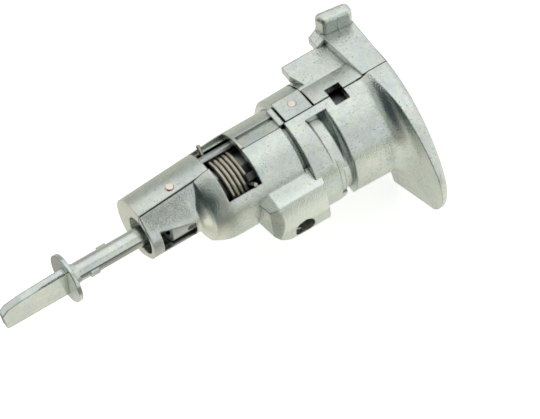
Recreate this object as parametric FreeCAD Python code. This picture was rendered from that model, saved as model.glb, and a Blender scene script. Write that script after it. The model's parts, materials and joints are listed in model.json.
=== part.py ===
import FreeCAD, Part
import math
import os
from FreeCAD import Vector

# A door lock cylinder, in millimetres.
# The lock axis is Y. Y = 0 is the outer face of the plug cap, and +Y runs into the door.
# The castings part on the plane X = 0. The arm points to +X, the wing of the flange to -X,
# and +Z is the side of the spring window.

# Stations along the lock axis
FLANGE_BACK_Y = 4.9
HEAD_FRONT_Y = -1.0
COVER_START_Y = 21.8
BARREL_END_Y = 30.6
STEP_GROOVE_WIDTH = 1.1
SHOULDER_START_Y = 51.0
SHOULDER_BREAK_Y = 57.0
NECK_START_Y = 60.4
TAIL_Y = 72.8
COLLAR_Y = 94.0
BLADE_TIP_Y = 112.9

# Castings
PARTING_GAP = 0.2
BODY_R = 11.8
BODY_WALL = 1.85
STEP_GROOVE_DEPTH = 1.1
STEP_GROOVE_R = BODY_R - STEP_GROOVE_DEPTH
SHOULDER_DROP = 1.8
SHOULDER_BULGE = 0.24
SHOULDER_R = BODY_R - SHOULDER_DROP
NECK_R = 6.4
BARREL_TOP_Z = 12.6
BARREL_R_FRONT = 15.7
BARREL_R_REAR = 15.2
BARREL_AXIS_Z = BARREL_TOP_Z - BARREL_R_REAR
BARREL_WALL = 2.3
RECESS_FRONT_DEPTH = 2.4
RECESS_REAR_DEPTH = 2.0
RECESS_R_FRONT = BARREL_R_REAR - RECESS_FRONT_DEPTH
RECESS_R_REAR = BARREL_R_REAR - RECESS_REAR_DEPTH
RECESS_SHIFT_X = -2.5
RECESS_RUN_OUT = 0.2
RECESS_FRONT_SLOPE = 0.75
RECESS_REAR_SLOPE = 0.6
RECESS_START_Y = 21.9
RECESS_END_Y = 24.9
RECESS_RUN_OUT_END_Y = 24.1
RECESS_START_X = 2.3
SHALLOW_FOOT_Z = -5.0
NOTCH_FLOOR_LIFT = 2.8
NOTCH_FLOOR_R = BARREL_R_REAR + NOTCH_FLOOR_LIFT
NOTCH_SHIFT = Vector(3.8, 0, 2.2)
NOTCH_START_Y = 19.9
NOTCH_END_Y = 22.8
UNDER_NOTCH_START_Y = 17.6
UNDER_NOTCH_TOP_Z = -10.9
ARM_FILLET_R = 2.0
WING_FILLET_R = 4.5
COVER_TAIL_R = 8.13
COVER_TAIL_X = 2.3
COVER_FULL_Y = 44.0
SEAM_TAIL_Z = 7.9
SEAM_NECK_Z = 10.1
SEAM_FLAT_Z = BODY_R - 0.25
SEAM_FLAT_DROP = 1.2
SEAM_FLAT_WIDTH = 4.3
SEAM_FLAT_END_Y = 42.2
COVER_RIB_START_Y = 30.3
COVER_RIB_END_Y = 31.7
COVER_RIB_Z = BODY_R + 0.4
COVER_RIB_DROP = 0.6
COVER_RIB_WIDTH = 6.2
COVER_GAP = 0.5
COVER_GAP_DEPTH = 2.0
COVER_CHAMFER = 1.0
PIN_PAD_WIDTH = 6.9
PIN_PAD_DROP = 0.85
PIN_PAD_WALL = 0.7

# Flange, its wing and the domed front. The wing's outline is given as (x, z) points.
WING_TOP_Z = 14.3
WING_SHOULDER = (-16.5, 10.7)
WING_BROW = (-27.6, 1.1)
WING_NOSE = (-29.7, -5.6)
WING_CHIN = (-25.4, -16.1)
WING_FOOT = (-7.8, -25.3)
WING_HEEL = (-4.6, -20.0)
RIM_THICKNESS = 5.5
RIM_ROUNDING = 1.4
DOME_R = 178.0
DOME_AXIS_X = 5.7
DOME_AXIS_Z = -2.0
COLLAR_RIM_R = 17.4
COLLAR_RIM_Y = 1.4

# Arm and lug. The lug's plan is given as (x, y) points, from its inner tail corner round.
ARM_LENGTH = 14.5
ARM_TOP_Z = 13.7
ARM_DEPTH = 4.6
ARM_FRONT_Y = 0.5
ARM_ROOT_BACK_Y = 7.35
ARM_TIP_BACK_Y = 9.1
LUG_PLAN = ((14.95, 8.6), (19.0, 10.0), (17.6, 0.5), (13.9, 0.5))
LUG_TOP_Z = 19.2
LUG_ROUNDING = 1.3
LUG_EDGE = 0.6
LEDGE_TOP_Z = 10.9
LEDGE_INNER_X = 6.3
LEDGE_OUTER_X = 15.0
LEDGE_END_Y = 21.4
LEDGE_THICKNESS = 2.2
LEDGE_ROOT_X = 11.0
LEDGE_DEPTH = 7.0
LEDGE_CUT = 1.8
LEDGE_LONG_CUT = 7.6
LEDGE_ROOT_SETBACK = 2.5
GUSSET_LENGTH = 2.1
GUSSET_DEPTH = 2.0
GUSSET_TOP = 0.2

# Fixing boss and its thread. Its section is given as (x, z) points.
BOSS_START_Y = 28.6
BOSS_END_Y = 48.0
BOSS_ROOT = (-9.8, 5.21)
BOSS_BROW = (-15.2, 3.9)
BOSS_CHEEK = (-16.85, -0.2)
BOSS_FACE = (-17.4, -5.0)
BOSS_JAW = (-16.7, -9.2)
BOSS_CHIN = (-13.6, -11.8)
BOSS_HEEL = (-5.0, -10.6)
BOSS_TOP_CUT = ((-10.69, 42.51, 4.99), (-0.236, 0.366, 0.9))
BOSS_TAIL_CUT = ((-11.3, 45.65, 3.4), (-0.268, 0.958, 0.1))
BOSS_UNDER_CUT = ((-17.4, 44.6, -4.9), (0.05, 0.65, -0.76))
BOSS_CORNER_CUT = ((-16.3, 41.9, 2.2), (-0.86, 0.45, 0.24))
BOSS_FRONT_CUT = ((-13.35, 28.75, 4.5), (-0.223, -1.0, 0.021))
SCREW_Y = 36.7
SCREW_Z = -6.1
SCREW_HOLE_R = 2.75
SCREW_HOLE_DEPTH = 7.5

# Windows
WINDOW_START_Y = 43.0
WINDOW_END_Y = 52.4
WINDOW_HALF_WIDTH = 8.8
SIGHT_HOLE_START_Y = 13.2
SIGHT_HOLE_END_Y = 17.3
SIGHT_HOLE_MINUS_X = 2.9
SIGHT_HOLE_PLUS_X = 2.35
NECK_OPENING_START_Y = 60.4
NECK_OPENING_END_Y = 69.9
NECK_OPENING_HEAD_Z = 2.3
NECK_OPENING_TAIL_Z = 4.4
NECK_OPENING_FOOT_Z = -3.6

# Pins that hold the cover to the ears of the main casting
PIN_R = 0.98
HEAD_PIN = (3.93, 25.64)
TAIL_PIN = (2.25, 62.37)
HEAD_PIN_PROUD = 0.0
TAIL_PIN_PROUD = 0.3
EAR_LENGTH = 4.4
EAR_THICKNESS = 1.4
HEAD_EAR_LIFT = 0.4
TAIL_EAR_LIFT = 1.1
EAR_ROOT = 1.4
EAR_REACH = 1.5

# Bores and running clearances
RUNNING = 0.05
SLACK = 0.1
PRESS_ROOM = 0.02
LINER_R = 9.0
LINER_BORE_R = 6.55
LINER_END_Y = 34.0
LINER_GROOVE_R = 7.6
CHAMBER_R = BODY_R - BODY_WALL
CHAMBER_END_Y = 54.0
HOLLOW_START_Y = 6.0
HOLLOW_END_Y = 28.0
REAR_WEB_END_Y = 34.2
JOURNAL_R = 5.0

# Plug, cap and shutter
PLUG_R = LINER_BORE_R - RUNNING
PLUG_HEAD_R = 8.3
PLUG_HEAD_END_Y = 2.8
CAP_THICKNESS = 0.6
CAP_R = 8.4
KEYWAY_WIDTH = 3.2
KEYWAY_HEIGHT = 9.4
CLIP_GROOVE_Y = 34.45
CLIP_THICKNESS = 0.8
CLIP_R = 8.4
CLIP_BORE_R = 5.5
CLIP_MOUTH = 6.0
PLUG_TAIL_END_Y = 36.2
TONGUE_WIDTH = 4.0
TONGUE_HEIGHT = 11.0
TONGUE_LENGTH = 3.2
SHUTTER_PIN_X = 2.9
SHUTTER_PIN_Y = 1.25
SHUTTER_PIN_R = 0.35
SHUTTER_BARREL_R = 0.6
SHUTTER_THICKNESS = 0.5
SHUTTER_REACH = 4.7
SHUTTER_WELL_END_Y = 6.5
SHUTTER_PIN_SEAT = 0.9

# Wafers and their springs
WAFER_COUNT = 8
WAFER_PITCH = 3.0
FIRST_WAFER_Y = 9.0
WAFER_THICKNESS = 1.2
WAFER_WIDTH = 6.6
WAFER_TRAVEL = 0.8
WAFER_FOOT_Z = 5.9
WAFER_EAR_X = 5.0
WAFER_EAR_Z = 0.6
WAFER_EAR_HEIGHT = 1.2
EAR_POCKET_FOOT_Z = 2.7
WAFER_SPRING_R = 0.45
WAFER_SPRING_WIRE = 0.2
WAFER_SPRING_TURNS = 4
WAFER_SPRING_STEPS = 18
WAFER_SPRING_SIDES = 3

# Driver, return spring and tail rod
DRIVER_START_Y = 36.8
DRIVER_DISC = 3.4
DRIVER_DISC_R = CHAMBER_R - SLACK
DRIVER_HUB_END_Y = 53.4
DRIVER_END_Y = 66.5
FINGER_THICKNESS = 0.9
FINGER_R = DRIVER_DISC_R - FINGER_THICKNESS
FINGER_WIDTH = 2.0
LONG_FINGER_END_Y = 52.6
SOCKET_R = 3.3
SOCKET_START_Y = 56.5
SPRING_WIRE = 1.1
SPRING_SLACK = 0.3
SPRING_R = FINGER_R - SPRING_SLACK - SPRING_WIRE / 2
DRIVER_HUB_R = SPRING_R - SPRING_WIRE / 2 - 2 * SPRING_SLACK
SPRING_PITCH = 1.25
SPRING_TAIL_Y = 50.0
SPRING_LEG_ANGLE = math.degrees(math.asin(WINDOW_HALF_WIDTH / BODY_R)
                                - math.asin((SPRING_WIRE / 2 + RUNNING) / BODY_R))
SPRING_TURNS = 4
SPRING_SWEEP = SPRING_TURNS + 2 * SPRING_LEG_ANGLE / 360
SPRING_HEAD_Y = SPRING_TAIL_Y - SPRING_PITCH * SPRING_SWEEP
SHORT_FINGER_END_Y = SPRING_HEAD_Y + SPRING_WIRE / 2
SPRING_STEPS = 80
SPRING_SIDES = 6
SPRING_TAIL_LEG_R = BODY_R + 0.7
SPRING_HEAD_LEG_R = BODY_R + 0.5
PIVOT_Y = 61.5
PIVOT_PIN_R = 0.8
ROD_HEAD_R = 3.0
ROD_NECK_R = 2.1
ROD_R = 2.5
ROD_SWING = 5.0
COLLAR_R = 6.45
COLLAR_THICKNESS = 1.1
BLADE_TOP_Z = 3.8
BLADE_FOOT_Z = -5.4
BLADE_THICKNESS = 2.0
BLADE_TAPER = 5.5
BLADE_ROUND = 1.6
BLADE_SLANT = 0.9
ROD_STEP = 1.0
ROD_CONE = 1.4
ROD_FLARE_LENGTH = 2.2
ROD_FLARE = 0.5
FLASH_START_Y = 81.4
GATE_START_Y = 86.2
FLASH_LENGTH = 2.5
FLASH_WIDTH = 1.6
FLASH_PROUD = 0.35

# How far one form reaches into the next where the two are fused
OVERLAP = 0.5
FAR = 60.0
Y_AXIS = Vector(0, 1, 0)


def cylinder(radius, y0, y1, x=0.0, z=0.0):
    return Part.makeCylinder(radius, y1 - y0, Vector(x, y0, z), Y_AXIS)


def tube(outer, inner, y0, y1):
    return cylinder(outer, y0, y1).cut(cylinder(inner, y0 - 1, y1 + 1))


def box(x0, x1, y0, y1, z0, z1):
    return Part.makeBox(x1 - x0, y1 - y0, z1 - z0, Vector(x0, y0, z0))


def prism(points, sweep):
    """A closed polygon of 3-D points, swept along a vector."""
    corners = [Vector(*p) for p in points]
    wire = Part.makePolygon(corners + corners[:1])
    return Part.Face(wire).extrude(Vector(*sweep))


def turned(profile, axis_z=0.0):
    """A solid turned about the lock axis, or a line parallel to it, from (radius, y) points."""
    corners = [Vector(r, y, axis_z) for r, y in profile]
    face = Part.Face(Part.makePolygon(corners + corners[:1]))
    return face.revolve(Vector(0, 0, axis_z), Y_AXIS, 360)


def fused(first, *others):
    shape = first
    for other in others:
        shape = shape.fuse(other)
    return shape


def largest(shape):
    return max(shape.Solids, key=lambda solid: solid.Volume)


def one_solid(shape):
    """The largest solid of a cut, with its faces merged."""
    return largest(shape.removeSplitter())


def about_y(shape, degrees):
    copy = shape.copy()
    copy.rotate(Vector(0, 0, 0), Y_AXIS, degrees)
    return copy


MINUS_SIDE = box(-FAR, 0, -FAR, 3 * FAR, -FAR, FAR)
PLUS_SIDE = box(PARTING_GAP, FAR, -FAR, 3 * FAR, -FAR, FAR)


def barrel_r(y):
    share = (y - FLANGE_BACK_Y) / (BARREL_END_Y - FLANGE_BACK_Y)
    return BARREL_R_FRONT + (BARREL_R_REAR - BARREL_R_FRONT) * share


def barrel(fillet_r):
    """The wide front barrel, off centre below the lock axis, with draft and a root fillet."""
    fillet_y = FLANGE_BACK_Y + fillet_r
    front_r = barrel_r(fillet_y)
    start = Vector(front_r, fillet_y, BARREL_AXIS_Z)
    end = Vector(front_r + fillet_r, FLANGE_BACK_Y, BARREL_AXIS_Z)
    lean = fillet_r * (1 - math.sqrt(0.5))
    middle = Vector(front_r + lean, FLANGE_BACK_Y + lean, BARREL_AXIS_Z)
    root = Part.Arc(start, middle, end).toShape()
    inside_y = FLANGE_BACK_Y - 3 * OVERLAP
    around = Part.makePolygon([end, Vector(front_r + fillet_r, inside_y, BARREL_AXIS_Z),
                               Vector(0, inside_y, BARREL_AXIS_Z),
                               Vector(0, BARREL_END_Y, BARREL_AXIS_Z),
                               Vector(BARREL_R_REAR, BARREL_END_Y, BARREL_AXIS_Z), start])
    wire = Part.Wire([root] + around.Edges)
    return Part.Face(wire).revolve(Vector(0, 0, BARREL_AXIS_Z), Y_AXIS, 360)


def cavity():
    """Everything that is hollow inside the castings: bores, chamber, barrel hollow and windows."""
    liner_seat = cylinder(LINER_R + RUNNING, HEAD_FRONT_Y - FAR, REAR_WEB_END_Y)
    chamber = cylinder(CHAMBER_R, REAR_WEB_END_Y, CHAMBER_END_Y)
    clip_room = cylinder(CLIP_R + SLACK, REAR_WEB_END_Y, DRIVER_START_Y)
    neck_bore = cylinder(JOURNAL_R + RUNNING, CHAMBER_END_Y - 1, TAIL_Y + 1)
    hollow = cylinder(BARREL_R_REAR - BARREL_WALL, HOLLOW_START_Y, HOLLOW_END_Y, 0, BARREL_AXIS_Z)
    window = box(-WINDOW_HALF_WIDTH, WINDOW_HALF_WIDTH, WINDOW_START_Y, WINDOW_END_Y, BODY_R / 2, FAR)
    sight_hole = box(-SIGHT_HOLE_MINUS_X, SIGHT_HOLE_PLUS_X, SIGHT_HOLE_START_Y, SIGHT_HOLE_END_Y,
                     LINER_R, FAR)
    return fused(liner_seat, chamber, clip_room, neck_bore, hollow, window, sight_hole)


def wing_outline(y):
    """The wing's outline at one station: a long brow, a round nose and a straight lower edge."""
    def at(point):
        return Vector(point[0], y, point[1])

    top = Vector(0, y, WING_TOP_Z)
    bottom = Vector(0, y, WING_HEEL[1])
    edges = [Part.Arc(top, at(WING_SHOULDER), at(WING_BROW)).toShape(),
             Part.Arc(at(WING_BROW), at(WING_NOSE), at(WING_CHIN)).toShape(),
             Part.makeLine(at(WING_CHIN), at(WING_FOOT)),
             Part.makeLine(at(WING_FOOT), at(WING_HEEL)),
             Part.makeLine(at(WING_HEEL), bottom),
             Part.makeLine(bottom, top)]
    return Part.Wire(edges)


def dome():
    """A large ball whose front limits the flange, so that the rim thins towards the nose."""
    front_y = FLANGE_BACK_Y - RIM_THICKNESS
    return Part.makeSphere(DOME_R, Vector(DOME_AXIS_X, front_y + DOME_R, DOME_AXIS_Z))


def wing():
    """The flange's wing, with its front edge rounded along the brow, nose and chin."""
    plate = Part.Face(wing_outline(HEAD_FRONT_Y - 1)).extrude(Vector(0, FLANGE_BACK_Y - HEAD_FRONT_Y + 1, 0))
    plate = plate.common(dome())
    front = [edge for edge in plate.Edges
             if edge.BoundBox.YMax < FLANGE_BACK_Y - 1 and edge.BoundBox.XMin < WING_HEEL[0] - 1]
    return plate.makeFillet(RIM_ROUNDING, front)


def neck_section(y, seam_z):
    """The cut-down neck: a round bar whose flanks run straight up to the parting line."""
    lean = math.acos(NECK_R / seam_z)
    touch_x = -NECK_R * math.sin(lean)
    touch_z = NECK_R * math.cos(lean)
    upper = Vector(touch_x, y, touch_z)
    lower = Vector(touch_x, y, -touch_z)
    top = Vector(0, y, seam_z)
    bottom = Vector(0, y, -seam_z)
    return Part.Wire([Part.makeLine(top, upper),
                      Part.Arc(upper, Vector(-NECK_R, y, 0), lower).toShape(),
                      Part.makeLine(lower, bottom),
                      Part.makeLine(bottom, top)])


def beyond(cut):
    """Everything on the outer side of a plane, given as a point on it and its outward normal."""
    point, normal = cut
    block = Part.makeBox(2 * FAR, 2 * FAR, FAR, Vector(-FAR, -FAR, 0))
    block.Placement = FreeCAD.Placement(Vector(*point), FreeCAD.Rotation(Vector(0, 0, 1), Vector(*normal)))
    return block


def boss():
    """The fixing boss: a rounded bar along Y, trimmed by planes at both ends."""
    def at(point):
        return Vector(point[0], BOSS_START_Y, point[1])

    core = Vector(0, BOSS_START_Y, 0)
    section = Part.Wire([Part.makeLine(at(BOSS_ROOT), at(BOSS_BROW)),
                         Part.Arc(at(BOSS_BROW), at(BOSS_CHEEK), at(BOSS_FACE)).toShape(),
                         Part.Arc(at(BOSS_FACE), at(BOSS_JAW), at(BOSS_CHIN)).toShape(),
                         Part.makeLine(at(BOSS_CHIN), at(BOSS_HEEL)),
                         Part.makeLine(at(BOSS_HEEL), core),
                         Part.makeLine(core, at(BOSS_ROOT))])
    bar = Part.Face(section).extrude(Vector(0, BOSS_END_Y - BOSS_START_Y, 0))
    return bar.cut([beyond(BOSS_TOP_CUT), beyond(BOSS_TAIL_CUT), beyond(BOSS_UNDER_CUT),
                    beyond(BOSS_CORNER_CUT), beyond(BOSS_FRONT_CUT)])


def recess():
    """The recess across the barrel: deepest beside the seam, then a shallow band down to a notch."""
    reach = BARREL_R_FRONT + 2 * BARREL_WALL
    front_end = RECESS_START_Y - (reach - RECESS_R_FRONT) * RECESS_FRONT_SLOPE
    rear_end = RECESS_END_Y + (reach - RECESS_R_REAR) * RECESS_REAR_SLOPE
    deep = turned([(RECESS_R_FRONT, RECESS_START_Y), (reach, front_end),
                   (reach, rear_end), (RECESS_R_REAR, RECESS_END_Y)], BARREL_AXIS_Z)
    deep.translate(Vector(RECESS_SHIFT_X, 0, 0))
    floor_r = BARREL_R_REAR - RECESS_RUN_OUT
    floor_start = RECESS_START_Y - (floor_r - RECESS_R_FRONT) * RECESS_FRONT_SLOPE
    shallow = turned([(floor_r, floor_start), (reach, front_end),
                      (reach, RECESS_RUN_OUT_END_Y), (floor_r, RECESS_RUN_OUT_END_Y)], BARREL_AXIS_Z)
    shallow = shallow.common(box(-FAR, FAR, 0, FAR, SHALLOW_FOOT_Z, FAR))
    notch_reach = NOTCH_FLOOR_R + BARREL_R_REAR / 2
    notch = turned([(NOTCH_FLOOR_R, UNDER_NOTCH_START_Y), (notch_reach, UNDER_NOTCH_START_Y),
                    (notch_reach, NOTCH_END_Y), (NOTCH_FLOOR_R, NOTCH_END_Y)], BARREL_AXIS_Z)
    notch.translate(NOTCH_SHIFT)
    notch = notch.cut(box(-FAR, FAR, 0, NOTCH_START_Y, UNDER_NOTCH_TOP_Z, FAR))
    return fused(deep, shallow, notch).common(box(-FAR, -RECESS_START_X, 0, FAR, -FAR, FAR))


PIN_PAD_TOP_Z = BARREL_AXIS_Z + BARREL_R_REAR


def body_bar():
    """The body behind the barrel: a groove, the plain round and a shoulder that rolls into the neck."""
    def at(r, y):
        return Vector(r, y, 0)

    start_y = BARREL_END_Y - 2 * OVERLAP
    groove_end = BARREL_END_Y + STEP_GROOVE_WIDTH
    roll_start = at(BODY_R, SHOULDER_START_Y)
    roll_end = at(SHOULDER_R, SHOULDER_BREAK_Y)
    roll_middle = at(BODY_R - SHOULDER_DROP * SHOULDER_BULGE, (SHOULDER_START_Y + SHOULDER_BREAK_Y) / 2)
    neck_foot = at(NECK_R - OVERLAP, NECK_START_Y)
    hollow_middle = at((SHOULDER_R + NECK_R) / 2 - 2 * OVERLAP,
                       (SHOULDER_BREAK_Y + NECK_START_Y) / 2 - OVERLAP)
    straight = Part.makePolygon([neck_foot, at(0, NECK_START_Y), at(0, start_y), at(STEP_GROOVE_R, start_y),
                                 at(STEP_GROOVE_R, groove_end), at(BODY_R, groove_end), roll_start])
    rolls = [Part.Arc(roll_start, roll_middle, roll_end).toShape(),
             Part.Arc(roll_end, hollow_middle, neck_foot).toShape()]
    return Part.Face(Part.Wire(straight.Edges + rolls)).revolve(at(0, 0), Y_AXIS, 360)


def head_pin_top():
    """The pin's height on the cover's flat pad."""
    return PIN_PAD_TOP_Z - PIN_PAD_DROP * HEAD_PIN[0] / PIN_PAD_WIDTH + HEAD_PIN_PROUD


def tail_pin_top():
    """The pin's height on the cover's taper, whose circles shrink and shift towards the tail."""
    x, y = TAIL_PIN
    share = (y - COVER_FULL_Y) / (TAIL_Y - COVER_FULL_Y)
    radius = BODY_R + (COVER_TAIL_R - BODY_R) * share
    return math.sqrt(radius ** 2 - (x - COVER_TAIL_X * share) ** 2) + TAIL_PIN_PROUD


HEAD_EAR_Z = LINER_R + HEAD_EAR_LIFT
TAIL_EAR_Z = JOURNAL_R + TAIL_EAR_LIFT


def ear(z0, pin, reach):
    """A tongue of the main casting that the cover sits on and is pinned to."""
    return box(-EAR_ROOT, pin[0] + reach, pin[1] - EAR_LENGTH / 2, pin[1] + EAR_LENGTH / 2,
               z0, z0 + EAR_THICKNESS)


def ear_pocket(z0, pin, reach):
    return box(-EAR_ROOT, pin[0] + reach + SLACK, pin[1] - EAR_LENGTH / 2 - SLACK,
               pin[1] + EAR_LENGTH / 2 + SLACK, z0 - SLACK, z0 + EAR_THICKNESS + SLACK)


def pin_bar(pin, ear_z, top_z, radius):
    """One pin, from half way through its ear to the top."""
    foot_z = ear_z + EAR_THICKNESS / 2
    return Part.makeCylinder(radius, top_z - foot_z, Vector(pin[0], pin[1], foot_z))


def pin_bars(radius, extra=0.0):
    return [pin_bar(HEAD_PIN, HEAD_EAR_Z, head_pin_top() + extra, radius),
            pin_bar(TAIL_PIN, TAIL_EAR_Z, tail_pin_top() + extra, radius)]


def housing_main():
    """The casting with the wing, the barrel half, the boss and the cut-down neck."""
    neck = Part.makeLoft([neck_section(SHOULDER_BREAK_Y - 1, SEAM_NECK_Z),
                          neck_section(TAIL_Y, SEAM_TAIL_Z)], True, True)
    behind_wing = Part.Face(wing_outline(HEAD_FRONT_Y)).extrude(Vector(0, FAR, 0))
    front = barrel(WING_FILLET_R).common(behind_wing).cut(recess())
    outer = fused(front, body_bar(), boss()).common(MINUS_SIDE)
    outer = fused(outer, wing(), neck)
    opening = prism([(-FAR, NECK_OPENING_START_Y, NECK_OPENING_HEAD_Z),
                     (-FAR, NECK_OPENING_END_Y, NECK_OPENING_TAIL_Z),
                     (-FAR, NECK_OPENING_END_Y, NECK_OPENING_FOOT_Z),
                     (-FAR, NECK_OPENING_START_Y, NECK_OPENING_FOOT_Z)], (FAR, 0, 0))
    thread = Part.makeCylinder(SCREW_HOLE_R, SCREW_HOLE_DEPTH + 1, Vector(BOSS_FACE[0] - 1, SCREW_Y, SCREW_Z),
                               Vector(1, 0, 0))
    cap_seat = cylinder(CAP_R + 2 * SLACK, HEAD_FRONT_Y - 1, PLUG_HEAD_END_Y)
    shell = outer.cut([cavity(), opening, thread, cap_seat])
    ears = [ear(HEAD_EAR_Z, HEAD_PIN, EAR_REACH), ear(TAIL_EAR_Z, TAIL_PIN, 2 * EAR_REACH)]
    shell = fused(shell, *ears)
    return one_solid(shell.cut(pin_bars(PIN_R)))


def sloped_block(seam_z, drop, width, far_z, y0, y1):
    """A block beside the seam, between a face that falls away from the seam and a level face."""
    return prism([(0, y0, seam_z), (width, y0, seam_z - drop), (width, y0, far_z), (0, y0, far_z)],
                 (0, y1 - y0, 0))


def cover_outside():
    """The tail cover's outer form: half barrel with a flat pad, gap, rib, body and a taper to the tail."""
    head = turned([(0, COVER_START_Y), (barrel_r(COVER_START_Y), COVER_START_Y),
                   (BARREL_R_REAR, BARREL_END_Y - COVER_CHAMFER),
                   (BARREL_R_REAR - COVER_CHAMFER, BARREL_END_Y), (0, BARREL_END_Y)], BARREL_AXIS_Z)
    above_pad = sloped_block(PIN_PAD_TOP_Z, PIN_PAD_DROP, PIN_PAD_WIDTH, FAR, COVER_START_Y, BARREL_END_Y)
    pad_foot_z = PIN_PAD_TOP_Z - PIN_PAD_DROP - PIN_PAD_WALL
    pad = sloped_block(PIN_PAD_TOP_Z, PIN_PAD_DROP, PIN_PAD_WIDTH, pad_foot_z,
                       COVER_START_Y, COVER_RIB_START_Y - COVER_GAP)
    rib = sloped_block(COVER_RIB_Z, COVER_RIB_DROP, COVER_RIB_WIDTH, STEP_GROOVE_R - 2 * OVERLAP,
                       COVER_RIB_START_Y - COVER_GAP, COVER_RIB_END_Y)
    gap = box(-1, COVER_RIB_WIDTH + COVER_GAP, COVER_RIB_START_Y - COVER_GAP, COVER_RIB_START_Y,
              COVER_RIB_Z - COVER_GAP_DEPTH, FAR)
    body = cylinder(BODY_R, BARREL_END_Y - OVERLAP, COVER_FULL_Y)
    full = Part.Wire(Part.makeCircle(BODY_R, Vector(0, COVER_FULL_Y, 0), Y_AXIS))
    tail = Part.Wire(Part.makeCircle(COVER_TAIL_R, Vector(COVER_TAIL_X, TAIL_Y, 0), Y_AXIS))
    taper = Part.makeLoft([full, tail], True, True)
    flat = sloped_block(SEAM_FLAT_Z, SEAM_FLAT_DROP, SEAM_FLAT_WIDTH, FAR, COVER_RIB_END_Y, SEAM_FLAT_END_Y)
    return fused(head.cut(above_pad), pad, body, taper, rib).cut([flat, gap])


def housing_cover():
    """The tail cover, pinned to the two ears of the main casting."""
    behind_arm = box(-FAR, FAR, COVER_START_Y + PARTING_GAP, FAR * 2, -FAR, FAR)
    outer = cover_outside().common(PLUS_SIDE).common(behind_arm)
    cuts = [cavity(), ear_pocket(HEAD_EAR_Z, HEAD_PIN, EAR_REACH),
            ear_pocket(TAIL_EAR_Z, TAIL_PIN, 2 * EAR_REACH)]
    return largest(outer.cut(cuts + pin_bars(PIN_R, 2 * OVERLAP)))


def arm():
    """The arm with its lug and the gusset behind it."""
    under = ARM_TOP_Z - ARM_DEPTH
    lug_outer_x = LUG_PLAN[1][0]
    bar = prism([(0, ARM_FRONT_Y, under), (LUG_PLAN[2][0], ARM_FRONT_Y, under),
                 (lug_outer_x - LUG_EDGE, ARM_TIP_BACK_Y, under), (ARM_LENGTH, ARM_TIP_BACK_Y, under),
                 (0, ARM_ROOT_BACK_Y, under)], (0, 0, ARM_DEPTH))
    lug = prism([(x, y, under + 1) for x, y in LUG_PLAN], (0, 0, LUG_TOP_Z - under - 1))
    rounded = [edge for edge in lug.Edges if edge.BoundBox.ZMax > LUG_TOP_Z - OVERLAP]
    lug = lug.makeFillet(LUG_ROUNDING, rounded)
    back_y = ARM_TIP_BACK_Y + GUSSET_LENGTH
    foot_z = LEDGE_TOP_Z - GUSSET_DEPTH
    gusset = prism([(ARM_LENGTH, ARM_TIP_BACK_Y - 2 * OVERLAP, foot_z), (ARM_LENGTH, back_y, foot_z),
                    (ARM_LENGTH, back_y, LEDGE_TOP_Z + GUSSET_TOP),
                    (ARM_LENGTH, ARM_TIP_BACK_Y - OVERLAP, ARM_TOP_Z - GUSSET_TOP)],
                   (lug_outer_x - ARM_LENGTH - LUG_EDGE, 0, 0))
    return fused(bar, lug, gusset)


def ledge():
    """The flat ledge beside the barrel, behind the arm, with its slanted tail end and its root."""
    x_mid = (LEDGE_INNER_X + LEDGE_OUTER_X) / 2
    start_y = ARM_ROOT_BACK_Y - 1
    inner_x = LEDGE_INNER_X - 3
    plate = prism([(inner_x, start_y, LEDGE_TOP_Z), (LEDGE_OUTER_X, start_y, LEDGE_TOP_Z),
                   (LEDGE_OUTER_X, LEDGE_END_Y, LEDGE_TOP_Z), (x_mid + 1, LEDGE_END_Y, LEDGE_TOP_Z),
                   (LEDGE_INNER_X + 1, LEDGE_END_Y - LEDGE_CUT, LEDGE_TOP_Z),
                   (inner_x, LEDGE_END_Y - LEDGE_LONG_CUT, LEDGE_TOP_Z)], (0, 0, -LEDGE_THICKNESS))
    root = prism([(inner_x, start_y, LEDGE_TOP_Z - 1), (LEDGE_OUTER_X - 1, start_y, LEDGE_TOP_Z - 1),
                  (LEDGE_ROOT_X, start_y, LEDGE_TOP_Z - LEDGE_DEPTH),
                  (inner_x, start_y, LEDGE_TOP_Z - LEDGE_DEPTH)],
                 (0, LEDGE_END_Y - LEDGE_ROOT_SETBACK - start_y, 0))
    return fused(plate, root)


def housing_arm():
    """The casting that closes the front barrel on the arm's side."""
    rim = cylinder(COLLAR_RIM_R, COLLAR_RIM_Y, FLANGE_BACK_Y, 0, BARREL_AXIS_Z)
    face = cylinder(BARREL_R_FRONT, HEAD_FRONT_Y, COLLAR_RIM_Y + 1, 0, BARREL_AXIS_Z).common(dome())
    below_arm = box(0, FAR, -FAR, FAR, -FAR, ARM_TOP_Z)
    trim = box(LEDGE_INNER_X, FAR, ARM_ROOT_BACK_Y, COVER_START_Y, LEDGE_TOP_Z, ARM_TOP_Z + 1)
    front = fused(barrel(ARM_FILLET_R), rim, face).common(below_arm).cut(trim)
    ahead = box(-FAR, FAR, -FAR, COVER_START_Y - PARTING_GAP, -FAR, FAR)
    outer = fused(front.common(ahead), ledge(), arm()).common(PLUS_SIDE)
    cap_seat = cylinder(CAP_R + 2 * SLACK, HEAD_FRONT_Y - 1, PLUG_HEAD_END_Y)
    return one_solid(outer.cut([cavity(), cap_seat]))


def housing_pins():
    return Part.makeCompound(pin_bars(PIN_R))


def liner_sleeve():
    """The steel liner, with four grooves where the wafers can spring out."""
    sleeve = tube(LINER_R, LINER_BORE_R, PLUG_HEAD_END_Y + SLACK, LINER_END_Y)
    half = WAFER_WIDTH / 2 + 2 * SLACK
    start = FIRST_WAFER_Y - WAFER_PITCH
    groove = box(-half, half, start, LINER_END_Y + 1, 0, LINER_GROOVE_R)
    return sleeve.cut([about_y(groove, quarter * 90) for quarter in range(4)])


def wafer_y(index):
    return FIRST_WAFER_Y + index * WAFER_PITCH


def wafer_turn(index):
    """Every second wafer faces the other way."""
    return 180 * (index % 2)


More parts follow.
